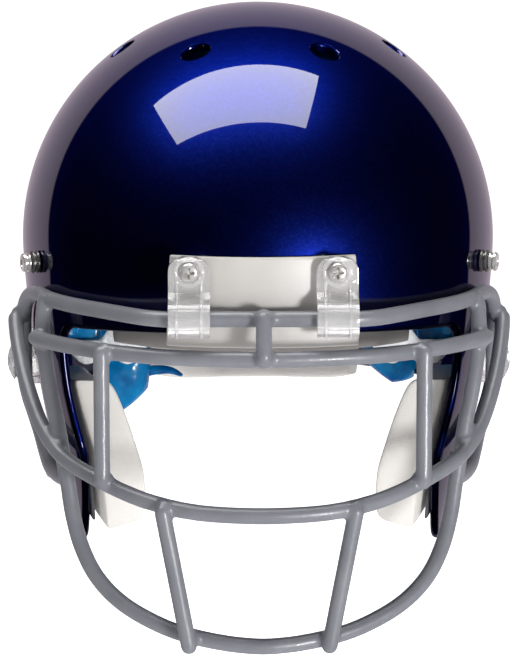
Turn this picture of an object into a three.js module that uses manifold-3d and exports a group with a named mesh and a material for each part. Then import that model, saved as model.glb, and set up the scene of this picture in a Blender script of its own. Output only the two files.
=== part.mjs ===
// American football helmet: a hard shell with an air-cushion liner, jaw pads and a hinged wire facemask.
// Millimetres. +Z is up, the face looks along -Y, and +X is the wearer's left.
// The origin is the middle of the shell's widest level, where the head sits.
import * as THREE from 'three';
import { mergeVertices } from 'three/addons/utils/BufferGeometryUtils.js';
import Module from 'manifold-3d';

const wasm = await Module();
wasm.setup();

// ---- Driving dimensions ----

const FIT = 0.4;                  // gap left between pieces that touch on the real helmet
const SIDES = [['left', 1], ['right', -1]];

const SHELL = { halfWidth: 114, halfLength: 140, crown: 113, wall: 4, bottom: -165 };
const TAPER = { share: 0.2, depth: 140, power: 1.5 };   // how the shell narrows below its widest level
const FULLNESS = { gain: 0.4, depth: 70 };              // how its plan grows from an ellipse to a fuller oval
const RIM = { brow: -25, browEnd: -29, temple: -80, jaw: -82, flapBottom: -138, flapBack: -45, nape: -81.5 };
const EAR_HOLE = { y: 8, z: -62, radius: 15 };
const VENT_RADIUS = 6.7;
const VENTS = [[30, -68.5], [65, -16], [30, 75]];       // x and y on the dome, each on both sides

const WIRE = 3.7;                                       // facemask wire radius
const BROW_BAR = { y: -149, z: -18.5 };                 // also the hinge axis, along X
const SECOND_BAR_Z = -35.5;
const LOOP = { x: 112, y: -35, middle: -54 };           // upright run of the side loop, in the side clip
const LOWER_UPRIGHT_SHIFT = -2;                         // both lower uprights are welded off centre

const PLATE = 3.2;                                      // thickness of the front and rear bumpers
const FRONT_BUMPER = { halfWidth: 42.3, top: 8, bottom: -33, lip: 3, lipReach: 8 };
const REAR_BUMPER = { halfWidth: 34, top: -54, bottom: -79, screwX: 22, screwZ: -66.5 };

const FRONT_CLIP = { x: 32.8, width: 18.4, top: 8, face: -146, screwZ: 2, bore: 4.8, strap: 3.3 };
const SIDE_CLIP = { top: -42, bottom: -66, front: -44, back: -12, tab: 112, outer: 119.6, channel: 4.3 };
const SIDE_SCREW = { y: -20, z: -54 };

const SCREW = { shank: 2.2, head: 4.1, headHeight: 2.6, recess: 1.7, recessDepth: 1.4 };
const T_NUT = { bore: 2.5, barrel: 3.2, flange: 6, thickness: 1.5, seat: 1.2 };   // seat: flange to wall
const SNAP = { shank: 1.9, cap: 4.4, capBottom: 4.4, capTop: 8, collar: 5.3, face: 3.6 };
const CHIN_SNAPS = [['upper', -58, -5], ['lower', -52, -103]];   // name, y and z on the shell
const VALVES = [['crown', 54], ['back', 118]];                   // name and y on the dome's middle line
const VALVE = { flange: 6, barrel: 4, needle: 1 };

const PAD_CLEARANCE = 9;          // liner pads start this far inside the outer surface, clear of the T-nuts
const BROW_PAD = { x: [-72, 72], y: [-150, -60], z: [-38, 36], inset: 2, thickness: 16 };
const CROWN_CUSHION = { x: [-60, 60], y: [-56, 62], z: [56, 120], thickness: 22 };
const BACK_CUSHION = { x: [-62, 62], y: [72, 150], z: [-58, 44], thickness: 20 };
const NAPE_PAD = { x: [-56, 56], y: [80, 150], z: [-89, -60], thickness: 17 };
const SIDE_CUSHION = { x: [50, 120], y: [-58, 60], z: [-42, 46], thickness: 20 };
const EAR_LOBE = { x: [53, 82], y: [38, 68], z: [-95, -34] };    // hangs from the side cushion behind the ear
const JAW_PAD = { front: -78, back: -33, top: -58, bottomFront: -132, bottomBack: -114, thickness: 20 };
const JAW_BACKING = { thickness: 2, margin: 4 };

const LOOKS = {
  shell: { color: 0x14246e, roughness: 0.2, metalness: 0.5 },
  wire: { color: 0x80838c, roughness: 0.35, metalness: 0.1 },
  bumper: { color: 0xe2dfda, roughness: 0.5, metalness: 0 },
  clip: { color: 0xd5dade, roughness: 0.15, metalness: 0 },
  steel: { color: 0xb9bcc0, roughness: 0.25, metalness: 1 },
  collar: { color: 0x8b8e93, roughness: 0.3, metalness: 1 },
  foam: { color: 0xd2ceca, roughness: 0.7, metalness: 0 },
  backing: { color: 0x3c3e42, roughness: 0.8, metalness: 0 },
  cushion: { color: 0x0096be, roughness: 0.3, metalness: 0 },
  rubber: { color: 0x1c1c1e, roughness: 0.8, metalness: 0 },
};

// ---- Solids ----

const X_AXIS = new THREE.Vector3(1, 0, 0);
const Z_AXIS = new THREE.Vector3(0, 0, 1);

function toSolid(geometry) {
  geometry.deleteAttribute('normal');
  geometry.deleteAttribute('uv');
  const merged = mergeVertices(geometry, 1e-3);
  const corners = merged.index.array;
  const triangles = [];
  for (let i = 0; i < corners.length; i += 3) {
    const [a, b, c] = corners.slice(i, i + 3);
    if (a !== b && b !== c && c !== a) triangles.push(a, b, c);
  }
  const vertProperties = new Float32Array(merged.attributes.position.array);
  const triVerts = new Uint32Array(triangles);
  return new wasm.Manifold(new wasm.Mesh({ numProp: 3, vertProperties, triVerts }));
}

function toGeometry(solid) {
  const { vertProperties, triVerts } = solid.getMesh();
  const geometry = new THREE.BufferGeometry();
  geometry.setAttribute('position', new THREE.BufferAttribute(vertProperties, 3));
  geometry.setIndex(new THREE.BufferAttribute(triVerts, 1));
  geometry.computeVertexNormals();
  return geometry;
}

const join = (solids) => solids.reduce((whole, piece) => whole.add(piece));
const cut = (solid, tools) => tools.reduce((rest, tool) => rest.subtract(tool), solid);

// A solid of revolution about Z. The profile runs upwards on its outer side, as [radius, z] pairs.
function revolve(profile, segments = 12) {
  const geometry = new THREE.LatheGeometry(profile.map(([r, z]) => new THREE.Vector2(r, z)), segments);
  return toSolid(geometry.rotateX(Math.PI / 2));
}

// A side-view outline (shape x is Y, shape y is Z), extruded across the helmet.
function acrossX(outline, from, to, curveSegments = 6) {
  const options = { depth: to - from, bevelEnabled: false, curveSegments };
  const geometry = new THREE.ExtrudeGeometry(outline, options);
  geometry.translate(0, 0, from);
  geometry.applyMatrix4(new THREE.Matrix4().makeBasis(new THREE.Vector3(0, 1, 0), Z_AXIS, X_AXIS));
  return toSolid(geometry);
}

// A plan outline, extruded upwards.
function upright(outline, from, to, curveSegments = 6) {
  const options = { depth: to - from, bevelEnabled: false, curveSegments };
  const geometry = new THREE.ExtrudeGeometry(outline, options);
  return toSolid(geometry.translate(0, 0, from));
}

function block([x0, x1], [y0, y1], [z0, z1]) {
  const geometry = new THREE.BoxGeometry(x1 - x0, y1 - y0, z1 - z0);
  return toSolid(geometry.translate((x0 + x1) / 2, (y0 + y1) / 2, (z0 + z1) / 2));
}

const mirrorX = (solid) => solid.mirror([1, 0, 0]);

// ---- The shell's surface ----

// Share of the full plan size at height z.
function levelScale(z) {
  if (z >= 0) return Math.sqrt(Math.max(0, 1 - (z / SHELL.crown) ** 2));
  return 1 - TAPER.share * (-z / TAPER.depth) ** TAPER.power;
}

// The plan is |x / width| ** power + |y / length| ** power = 1: an ellipse where the power is 2.
function planPower(z) {
  return 2 + FULLNESS.gain * THREE.MathUtils.smoothstep(-z, 0, FULLNESS.depth);
}

// 0 on the outer surface and positive outside it.
function outside({ x, y, z }) {
  const power = planPower(z);
  const scale = levelScale(z);
  return Math.abs(x / SHELL.halfWidth / scale) ** power + Math.abs(y / SHELL.halfLength / scale) ** power - 1;
}

// A point of the outer surface, with the way out of it: the surface's normal when no axis is given.
function placeOnShell(x, y, z, axis) {
  const point = new THREE.Vector3(x, y, z);
  const normal = new THREE.Vector3();
  for (const letter of ['x', 'y', 'z']) {
    const [ahead, behind] = [point.clone(), point.clone()];
    ahead[letter] += 0.1;
    behind[letter] -= 0.1;
    normal[letter] = outside(ahead) - outside(behind);
  }
  return { point, axis: axis ?? normal.normalize() };
}

// How far out the plan reaches, as a share of its half size, where the other coordinate's share is known.
function reach(otherShare, z) {
  const scale = levelScale(z);
  const power = planPower(z);
  return scale * (1 - Math.abs(otherShare / scale) ** power) ** (1 / power);
}

function placeOnSide(side, y, z, axis) {
  return placeOnShell(side * SHELL.halfWidth * reach(y / SHELL.halfLength, z), y, z, axis);
}

function placeOnFrontOrBack(end, x, z, axis) {
  return placeOnShell(x, end * SHELL.halfLength * reach(x / SHELL.halfWidth, z), z, axis);
}

function placeOnTop(x, y) {
  const z = SHELL.crown * Math.sqrt(1 - (x / SHELL.halfWidth) ** 2 - (y / SHELL.halfLength) ** 2);
  return placeOnShell(x, y, z);
}

// A straight hole or rod at a place, from one distance to another along its axis.
function drill(place, radius, from, to, sides = 12) {
  const geometry = new THREE.CylinderGeometry(radius, radius, to - from, sides);
  geometry.rotateX(Math.PI / 2).translate(0, 0, (from + to) / 2);
  const turn = new THREE.Quaternion().setFromUnitVectors(Z_AXIS, place.axis);
  geometry.applyQuaternion(turn).translate(...place.point);
  return toSolid(geometry);
}

// The solid inside the outer surface moved inwards by `inset` (outwards when negative).
function dome(inset, around = 44, rows = 10) {
  const profile = [[0, SHELL.bottom]];
  const skirtRows = Math.round(rows * 0.7);
  for (let i = skirtRows; i > 0; i--) {
    const z = (SHELL.bottom * i) / skirtRows;
    profile.push([levelScale(z), z]);
  }
  for (let i = 0; i <= rows; i++) {
    const angle = (Math.PI / 2) * (i / rows);
    profile.push([i === rows ? 0 : Math.cos(angle), (SHELL.crown - inset) * Math.sin(angle)]);
  }
  const geometry = new THREE.LatheGeometry(profile.map(([r, z]) => new THREE.Vector2(r, z)), around);
  geometry.rotateX(Math.PI / 2);
  const { position } = geometry.attributes;
  for (let i = 0; i < position.count; i++) {
    const [x, y, z] = [position.getX(i), position.getY(i), position.getZ(i)];
    const power = planPower(z);
    const radius = Math.hypot(x, y);
    const fuller = radius > 0 ? radius / (Math.abs(x) ** power + Math.abs(y) ** power) ** (1 / power) : 0;
    position.setXY(i, x * fuller * (SHELL.halfWidth - inset), y * fuller * (SHELL.halfLength - inset));
  }
  return toSolid(geometry);
}

// A layer that follows the shell between two insets, kept inside a region.
function layer(insetOuter, insetInner, region, around = 28, rows = 6) {
  return dome(insetOuter, around, rows).subtract(dome(insetInner, around, rows)).intersect(region);
}

// ---- Places that pieces share ----

const screwPlaces = [];
for (const [name, side] of SIDES) {
  screwPlaces.push({
    name: `front_clip_screw_${name}`, nut: `front_clip_t_nut_${name}`, headBase: 12.4, seat: 3.8,
    place: placeOnFrontOrBack(-1, side * FRONT_CLIP.x, FRONT_CLIP.screwZ, new THREE.Vector3(0, -1, 0)),
  });
  screwPlaces.push({
    name: `side_clip_screw_${name}`, nut: `side_clip_t_nut_${name}`, headBase: 5.1, seat: 2.3,
    place: placeOnSide(side, SIDE_SCREW.y, SIDE_SCREW.z, new THREE.Vector3(side, 0, 0)),
  });
  screwPlaces.push({
    name: `rear_bumper_screw_${name}`, nut: `rear_bumper_t_nut_${name}`,
    headBase: PLATE + 1.2, seat: T_NUT.seat,
    place: placeOnFrontOrBack(1, side * REAR_BUMPER.screwX, REAR_BUMPER.screwZ),
  });
}

const snapPlaces = CHIN_SNAPS.flatMap(([level, y, z]) => SIDES.map(([name, side]) => (
  { name: `${level}_${name}`, place: placeOnSide(side, y, z) }
)));

const valvePlaces = VALVES.map(([name, y]) => ({ name, place: placeOnTop(0, y) }));

// ---- Shell ----

// Everything of the dome that is kept, seen from the side: brow rim, cheek edge, jaw flap, nape.
function shellSideOutline() {
  const far = 160;
  const outline = new THREE.Shape();
  outline.moveTo(-far, RIM.brow);
  outline.lineTo(-SHELL.halfLength + 2, RIM.brow);
  outline.lineTo(RIM.temple - 14, RIM.browEnd);
  outline.quadraticCurveTo(RIM.temple, RIM.browEnd, RIM.temple, RIM.browEnd - 16);
  outline.lineTo(RIM.jaw, -92);
  outline.bezierCurveTo(RIM.jaw + 6, -112, RIM.jaw + 24, RIM.flapBottom, RIM.jaw + 34, RIM.flapBottom);
  outline.lineTo(RIM.flapBack, RIM.flapBottom);
  outline.bezierCurveTo(-12, RIM.flapBottom, -20, RIM.nape - 4, 30, RIM.nape);
  outline.lineTo(far, RIM.nape);
  outline.lineTo(far, far);
  outline.lineTo(-far, far);
  return outline;
}

function makeShell() {
  const wall = dome(0).subtract(dome(SHELL.wall));
  const kept = wall.intersect(acrossX(shellSideOutline(), -SHELL.halfWidth - 6, SHELL.halfWidth + 6, 8));
  const holes = [];
  for (const [, side] of SIDES) {
    for (const [x, y] of VENTS) holes.push(drill(placeOnTop(side * x, y), VENT_RADIUS, -12, 12, 16));
    const ear = placeOnSide(side, EAR_HOLE.y, EAR_HOLE.z, new THREE.Vector3(side, 0, 0));
    holes.push(drill(ear, EAR_HOLE.radius, -14, 14, 20));
  }
  for (const { place } of screwPlaces) holes.push(drill(place, T_NUT.barrel + FIT, -14, 10));
  for (const { place } of snapPlaces) holes.push(drill(place, T_NUT.barrel + FIT, -14, 10));
  for (const { place } of valvePlaces) holes.push(drill(place, VALVE.barrel + FIT, -12, 10));
  return cut(kept, holes);
}

// ---- Facemask: one welded and coated wire frame ----

// A bent wire through hand-set points.
function wire(points, steps) {
  const path = new THREE.CatmullRomCurve3(points.map((point) => new THREE.Vector3(...point)));
  const section = new THREE.Shape();
  section.absarc(0, 0, WIRE, 0, Math.PI * 2);
  const options = { steps, extrudePath: path, curveSegments: 4, bevelEnabled: false };
  return toSolid(new THREE.ExtrudeGeometry(section, options));
}

// The whole of a symmetrical wire, from its middle point and its left half.
function bothSides(half) {
  const right = half.slice(1).reverse().map(([x, y, z]) => [-x, y, z]);
  return [...right, ...half];
}

function makeFacemask() {
  const { y, z } = BROW_BAR;
  // Straight between the front clips, round the temple, back to the side clip and down to the cheek.
  const browBarAndSideLoops = wire(bothSides([
    [0, y, z], [22, y, z], [34, y, z], [42, y, z],
    [51, -144.5, z], [61, -134.5, z], [72, -122, z], [84, -108, z], [92.5, -95.5, z], [98, -84.5, z],
    [103.5, -72, z + 0.5], [107.8, -60, z - 2], [110.6, -49, z - 8], [LOOP.x - 0.2, -40, z - 17],
    [LOOP.x, LOOP.y - 0.4, LOOP.middle + 10], [LOOP.x, LOOP.y, LOOP.middle],
    [LOOP.x, LOOP.y - 0.4, LOOP.middle - 9],
    [110.3, -38.5, -71], [107, -46, -79], [103.5, -57, -86.5], [100.5, -69, -93.5], [97.5, -82, -98],
    [93.5, -94, -99.5], [88.5, -105, -99.5],
  ]), 68);
  const secondBar = wire(bothSides([
    [0, -155.5, SECOND_BAR_Z], [24, -153.3, SECOND_BAR_Z], [48, -146, SECOND_BAR_Z], [72, -131, SECOND_BAR_Z],
    [90, -113, SECOND_BAR_Z], [101, -97.5, SECOND_BAR_Z], [104.3, -91, SECOND_BAR_Z],
  ]), 18);
  const sideLegsAndChinBar = wire(bothSides([
    [0, -157.5, -164.5], [32, -150.5, -161.5], [50, -142.5, -156.5], [65, -134, -149], [75.5, -125.5, -139.5],
    [82.3, -118, -127.5], [86.3, -112.5, -114], [88.6, -109, -100], [91, -106.3, -87], [93.5, -103.5, -73],
    [96.8, -99.5, -58], [99.2, -95, -43], [100.5, -90, -30], [101, -87.5, -21],
  ]), 42);
  const middleBar = wire(bothSides([
    [0, -165, -103.6], [30, -160.5, -102.8], [50, -151, -100.2], [62, -143, -97.3], [75, -132.5, -93],
    [86, -119.5, -89.2], [92.5, -110.5, -85.5], [100, -99, -77], [107, -83, -63.5], [111.2, -69, -52],
    [114.3, -55, -40], [115.6, -46, -31.5],
  ]), 38);
  const centreUpright = wire([[0, -154.8, -15.5], [0, -161, -34]], 1);
  const uprights = SIDES.flatMap(([, side]) => [
    wire([[side * 72, -137.5, -34], [side * 71.8, -140.5, -95]], 1),
    wire([
      [side * 43 + LOWER_UPRIGHT_SHIFT, -159, -101], [side * 31.3 + LOWER_UPRIGHT_SHIFT, -157.7, -164.5],
    ], 1),
  ]);
  return join([browBarAndSideLoops, secondBar, sideLegsAndChinBar, middleBar, centreUpright, ...uprights]);
}

// ---- Bumpers ----

function makeFrontBumper() {
  const { halfWidth, top, bottom, lip, lipReach } = FRONT_BUMPER;
  const acrossBrow = [-halfWidth, halfWidth];
  const front = [-160, -80];
  const plate = layer(-FIT - PLATE, -FIT, block(acrossBrow, front, [bottom, top]), 44, 10);
  const returnLip = layer(-FIT - 1, lipReach, block(acrossBrow, front, [bottom, bottom + lip]), 44, 10);
  const screwHoles = screwPlaces.map(({ place }) => drill(place, SCREW.shank + 1, -3, 12));
  return cut(plate.add(returnLip), screwHoles);
}

function makeRearBumper() {
  const { halfWidth, top, bottom } = REAR_BUMPER;
  const plate = layer(-FIT - PLATE, -FIT, block([-halfWidth, halfWidth], [80, 160], [bottom, top]), 44, 10);
  return cut(plate, screwPlaces.map(({ place }) => drill(place, SCREW.shank + 1, -3, 12)));
}

// ---- Facemask clips ----

// A strap looped round the brow bar, with a flat boss above it for the screw.
function makeFrontClip(side) {
  const { x, width, top, face, bore, strap } = FRONT_CLIP;
  const radius = bore + strap;
  const outline = new THREE.Shape();
  outline.moveTo(-122, top);
  outline.lineTo(face + 4, top);
  outline.quadraticCurveTo(face, top, face, top - 4);
  outline.lineTo(face, -7);
  const [wrapStart, wrapEnd] = [100, 300].map(THREE.MathUtils.degToRad);
  outline.absarc(BROW_BAR.y, BROW_BAR.z, radius, wrapStart, wrapEnd);
  outline.lineTo(-122, -24);
  const from = side * x - width / 2;
  const body = acrossX(outline, from, from + width, 6);
  const barPlace = { point: new THREE.Vector3(from - 5, BROW_BAR.y, BROW_BAR.z), axis: X_AXIS };
  const screwPoint = new THREE.Vector3(side * x, face, FRONT_CLIP.screwZ);
  const screwPlace = { point: screwPoint, axis: new THREE.Vector3(0, -1, 0) };
  return cut(body, [
    dome(-2 * FIT - PLATE),
    drill(barPlace, bore, 0, width + 10, 16),
    drill(screwPlace, SCREW.shank + 0.8, -30, 5, 12),
  ]);
}

// A block that grips the side loop in a channel open to the front. Its slot lets it slide off the screw.
function makeLeftSideClip() {
  const { top, bottom, front, back, tab, outer, channel } = SIDE_CLIP;
  const outline = new THREE.Shape();
  outline.moveTo(95, back);
  outline.lineTo(tab, back);
  outline.lineTo(tab, back - 14.5);
  outline.quadraticCurveTo(outer, back - 15, outer, back - 20);
  outline.lineTo(outer, front);
  outline.lineTo(LOOP.x + channel, front);
  outline.absarc(LOOP.x, LOOP.y, channel, 0, Math.PI);
  outline.lineTo(LOOP.x - channel, front);
  outline.lineTo(95, front);
  const body = upright(outline, bottom, top, 4);
  return cut(body, [dome(-FIT), screwSlot()]);
}

// The slot runs from the screw along the path that the clip leaves it by, up and back.
function screwSlot() {
  const halfWidth = SCREW.shank + 1;
  const lever = new THREE.Vector2(SIDE_SCREW.y - BROW_BAR.y, SIDE_SCREW.z - BROW_BAR.z);
  const way = new THREE.Vector2(-lever.y, lever.x).normalize();
  const wayAngle = Math.atan2(way.y, way.x);
  const far = way.clone().multiplyScalar(30).add(new THREE.Vector2(SIDE_SCREW.y, SIDE_SCREW.z));
  const slot = new THREE.Shape();
  slot.absarc(SIDE_SCREW.y, SIDE_SCREW.z, halfWidth, wayAngle + Math.PI / 2, wayAngle + Math.PI * 1.5);
  slot.lineTo(far.x + halfWidth * way.y, far.y - halfWidth * way.x);
  slot.lineTo(far.x - halfWidth * way.y, far.y + halfWidth * way.x);
  return acrossX(slot, 90, 130, 6);
}

// ---- Fasteners: local z is 0 on the shell's outer surface and grows outwards ----

function makeScrew(headBase, seat) {
  const tip = -SHELL.wall - seat - T_NUT.thickness;
  const top = headBase + SCREW.headHeight;
  return revolve([
    [0, tip], [SCREW.shank, tip], [SCREW.shank, headBase], [SCREW.head, headBase], [SCREW.head, top - 1],
    [SCREW.head - 1, top], [SCREW.recess, top], [SCREW.recess, top - SCREW.recessDepth],
    [0, top - SCREW.recessDepth],
  ]);
}

function makeTNut(seat) {
  const flangeTop = -SHELL.wall - seat;
  const flangeBottom = flangeTop - T_NUT.thickness;
  const barrelTop = -1 - seat / 2;
  return revolve([
    [T_NUT.bore, flangeBottom], [T_NUT.flange, flangeBottom], [T_NUT.flange, flangeTop],
    [T_NUT.barrel, flangeTop], [T_NUT.barrel, barrelTop], [T_NUT.bore, barrelTop], [T_NUT.bore, flangeBottom],
  ]);
}

function makeSnapStud() {
  const { shank, cap, capBottom, capTop, face } = SNAP;
  const tip = -SHELL.wall - T_NUT.seat - T_NUT.thickness;
  return revolve([
    [0, tip], [shank, tip], [shank, capBottom], [cap, capBottom], [cap, capBottom + 1],
    [cap - 0.7, capBottom + 1.5], [cap - 0.7, capBottom + 2.1], [cap, capBottom + 2.6],
    [cap, capTop - 0.8], [face, capTop], [0, capTop],
  ]);
}

function makeSnapCollar() {
  const { shank, collar, capBottom } = SNAP;
  const bore = shank + FIT;
  const top = capBottom - FIT;
  return revolve([
    [bore, FIT], [collar, FIT], [collar, 2.2], [collar - 0.7, 2.5], [collar - 0.7, 2.9],
    [collar, 3.2], [collar, top - 0.6], [collar - 0.6, top], [bore, top], [bore, FIT],
  ]);
}

function makeValve() {
  const { flange, barrel, needle } = VALVE;
  const inner = -SHELL.wall - 3;
  return revolve([
    [needle, inner], [barrel, inner], [barrel, FIT], [flange, FIT], [flange, FIT + 0.7],
    [flange - 1, FIT + 1.2], [needle, FIT + 1.2], [needle, inner],
  ]);
}

// ---- Liner and jaw pads ----

// A pad that fills a box-shaped region of the layer just inside the shell.
function makePad({ x, y, z, thickness, inset = 0 }) {
  const outer = PAD_CLEARANCE + inset;
  return layer(outer, outer + thickness, block(x, y, z));
}

function makeLeftSideCushion() {
  const { x, y, z } = EAR_LOBE;
  const lobe = block(x, y, z).intersect(dome(PAD_CLEARANCE, 28, 6));
  return makePad(SIDE_CUSHION).add(lobe);
}

function jawPadOutline(margin) {
  const { front, back, top, bottomFront, bottomBack } = JAW_PAD;
  const outline = new THREE.Shape();
  outline.moveTo(front + 2 + margin, top - margin);
  outline.lineTo(back - margin, top - margin);
  outline.lineTo(back - margin, bottomBack + margin);
  outline.lineTo(front + 12 + margin, bottomFront + margin);
  outline.quadraticCurveTo(front + 5 + margin, bottomFront + 12, front + margin, bottomFront + 34);
  return outline;
}

// Room for the T-nut of the lower snap, which ends up behind the jaw pad.
function lowerSnapPocket() {
  const { place } = snapPlaces.find(({ name }) => name === 'lower_left');
  return drill(place, T_NUT.flange + FIT, -10, 0);
}

function makeLeftJawLayer(inset, thickness, margin) {
  const whole = layer(inset, inset + thickness, acrossX(jawPadOutline(margin), 10, 130, 3), 44, 8);
  return whole.subtract(lowerSnapPocket());
}

function makeLeftJawPad() {
  const inset = SHELL.wall + 1 + JAW_BACKING.thickness + FIT;
  return makeLeftJawLayer(inset, JAW_PAD.thickness, 0);
}

function makeLeftJawBacking() {
  return makeLeftJawLayer(SHELL.wall + 1, JAW_BACKING.thickness, JAW_BACKING.margin);
}

// ---- Assembly ----

const group = new THREE.Group();
group.name = 'football_helmet';

const facemaskGroup = new THREE.Group();
facemaskGroup.name = 'facemask_hinge';
group.add(facemaskGroup);

function addPart(name, solid, look, parent = group) {
  const mesh = new THREE.Mesh(toGeometry(solid), new THREE.MeshStandardMaterial(look));
  mesh.name = name;
  parent.add(mesh);
  return mesh;
}

function addAtPlace(name, solid, look, place) {
  const mesh = addPart(name, solid, look);
  mesh.position.copy(place.point);
  mesh.quaternion.setFromUnitVectors(Z_AXIS, place.axis);
}

addPart('shell', makeShell(), LOOKS.shell);
addPart('facemask', makeFacemask(), LOOKS.wire, facemaskGroup);
addPart('front_bumper', makeFrontBumper(), LOOKS.bumper);
addPart('rear_bumper', makeRearBumper(), LOOKS.bumper);
addPart('brow_pad', makePad(BROW_PAD), LOOKS.foam);
addPart('crown_cushion', makePad(CROWN_CUSHION), LOOKS.cushion);
addPart('back_cushion', makePad(BACK_CUSHION), LOOKS.cushion);
addPart('nape_pad', makePad(NAPE_PAD), LOOKS.foam);

for (const [name, side] of SIDES) {
  const onSide = side > 0 ? (solid) => solid : mirrorX;
  addPart(`front_clip_${name}`, makeFrontClip(side), LOOKS.clip);
  addPart(`side_clip_${name}`, onSide(makeLeftSideClip()), LOOKS.clip, facemaskGroup);
  addPart(`side_cushion_${name}`, onSide(makeLeftSideCushion()), LOOKS.cushion);
  addPart(`jaw_pad_${name}`, onSide(makeLeftJawPad()), LOOKS.foam);
  addPart(`jaw_pad_backing_${name}`, onSide(makeLeftJawBacking()), LOOKS.backing);
}

for (const { name, nut, place, headBase, seat } of screwPlaces) {
  addAtPlace(name, makeScrew(headBase, seat), LOOKS.steel, place);
  addAtPlace(nut, makeTNut(seat), LOOKS.steel, place);
}

for (const { name, place } of snapPlaces) {
  addAtPlace(`chin_snap_stud_${name}`, makeSnapStud(), LOOKS.steel, place);
  addAtPlace(`chin_snap_collar_${name}`, makeSnapCollar(), LOOKS.collar, place);
  addAtPlace(`chin_snap_t_nut_${name}`, makeTNut(T_NUT.seat), LOOKS.steel, place);
}

for (const { name, place } of valvePlaces) {
  addAtPlace(`inflation_valve_${name}`, makeValve(), LOOKS.rubber, place);
}

export default group;
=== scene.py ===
from math import atan2, copysign, cos, degrees, exp, hypot, pi, radians, sin, sqrt

import bmesh
import bpy
from mathutils import Matrix, Vector


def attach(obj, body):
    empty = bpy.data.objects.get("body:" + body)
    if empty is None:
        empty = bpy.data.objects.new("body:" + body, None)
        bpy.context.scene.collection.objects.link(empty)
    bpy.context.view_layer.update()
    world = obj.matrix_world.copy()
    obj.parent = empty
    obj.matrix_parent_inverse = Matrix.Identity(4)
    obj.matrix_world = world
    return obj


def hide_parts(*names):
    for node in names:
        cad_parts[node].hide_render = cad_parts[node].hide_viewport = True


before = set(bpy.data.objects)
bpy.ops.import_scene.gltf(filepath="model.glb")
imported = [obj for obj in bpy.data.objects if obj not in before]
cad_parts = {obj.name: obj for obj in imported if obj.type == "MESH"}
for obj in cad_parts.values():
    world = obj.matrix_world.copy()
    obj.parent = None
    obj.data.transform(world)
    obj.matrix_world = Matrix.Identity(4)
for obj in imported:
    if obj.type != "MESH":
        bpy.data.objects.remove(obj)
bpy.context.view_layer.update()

# ---- Dimensions, in millimetres ----

MM = 0.001
SIDES = (("left", 1), ("right", -1))
X_AXIS = Vector((1, 0, 0))
Z_AXIS = Vector((0, 0, 1))

HALF_WIDTH, HALF_LENGTH, CROWN, WALL = 114, 140, 113, 4
TAPER_SHARE, TAPER_DEPTH, TAPER_POWER = 0.2, 140, 1.5
FULLNESS_GAIN, FULLNESS_DEPTH = 0.4, 70
BROW_RIM, BROW_END, FLAP_BOTTOM, NAPE = -25, -29, -138, -81.5  # the rim's heights
TEMPLE, JAW, FLAP_BACK = -80, -82, -45                         # its places along Y
EAR_HOLE_Y, EAR_HOLE_Z, EAR_HOLE_RADIUS = 8, -62, 15
SCREW_HOLE, VALVE_HOLE = 3.6, 4.4
VENT_RADIUS = 6.7
VENTS = ((30, -68.5), (65, -16), (30, 75))

WIRE = 3.7
BROW_BAR_Y, BROW_BAR_Z = -149, -18.5
SECOND_BAR_Z = -35.5
LOOP_X, LOOP_Y, LOOP_MIDDLE = 112, -35, -54                    # upright run of a side loop
LOWER_UPRIGHT_SHIFT = -2

PLATE_GAP, PLATE = 0.4, 3.2
FRONT_BUMPER_HALF_WIDTH, FRONT_BUMPER_TOP, FRONT_BUMPER_BOTTOM = 42.2, 8, -33
LIP_HALF_WIDTH, LIP_BOTTOM, LIP_TOP, LIP_OUTER, LIP_INNER = 42.9, -32.6, -30.0, -3.0, 8.4
FRONT_CLIP_X, FRONT_CLIP_WIDTH, FRONT_CLIP_TOP, FRONT_CLIP_FACE = 32.8, 18.4, 8, -146
FRONT_SCREW_Z = 2
CLIP_BORE, CLIP_STRAP = 4.8, 3.3
SIDE_CLIP_TOP, SIDE_CLIP_BOTTOM, SIDE_CLIP_FRONT, SIDE_CLIP_BACK = -42, -66, -44, -12
SIDE_CLIP_TAB, SIDE_CLIP_OUTER, SIDE_CLIP_CHANNEL = 112, 119.6, 4.3
SIDE_SCREW_Y, SIDE_SCREW_Z = -20, -54
REAR_BUMPER_HALF_WIDTH, REAR_BUMPER_TOP, REAR_BUMPER_BOTTOM = 34, -54, -79
REAR_SCREW_X, REAR_SCREW_Z = 22, -66.5
FRONT_HEAD_BASE, FRONT_NUT_SEAT, SIDE_HEAD_BASE, SIDE_NUT_SEAT = 12.4, 3.8, 5.1, 2.3  # see screw_places()
SCREW_SHANK, SCREW_HEAD, SCREW_HEAD_HEIGHT, THREAD_PITCH = 2.2, 4.1, 2.6, 0.8
T_NUT_BORE, T_NUT_BARREL, T_NUT_FLANGE, T_NUT_THICKNESS, T_NUT_SEAT = 2.5, 3.2, 6, 1.5, 1.2
CHIN_SNAPS = (("upper", -58, -5), ("lower", -52, -103))        # name, y and z on the shell
VALVES = (("crown", 54), ("back", 118))                        # name and y on the dome's middle line
LINER_DEPTH = 9.5              # the air cushions start this far inside the outer surface
EAR_LOBE_LEFT_DROP, EAR_LOBE_RIGHT_DROP = 82, 97
JAW_PAD_FRONT, JAW_PAD_BACK, JAW_PAD_TOP = -76, -33.5, -58.5
JAW_PAD_TIP, JAW_PAD_HEEL = -131.5, -114.5

# ---- The shell's surface ----


def level_scale(z, inset=0.0):
    """Share of the full plan size at height z."""
    if z >= 0:
        return sqrt(max(0.0, 1 - (z / (CROWN - inset)) ** 2))
    return 1 - TAPER_SHARE * (-z / TAPER_DEPTH) ** TAPER_POWER


def plan_power(z):
    """The plan is an ellipse where the power is 2, and a fuller oval lower down."""
    t = clamp(-z / FULLNESS_DEPTH)
    return 2 + FULLNESS_GAIN * t * t * (3 - 2 * t)


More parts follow.
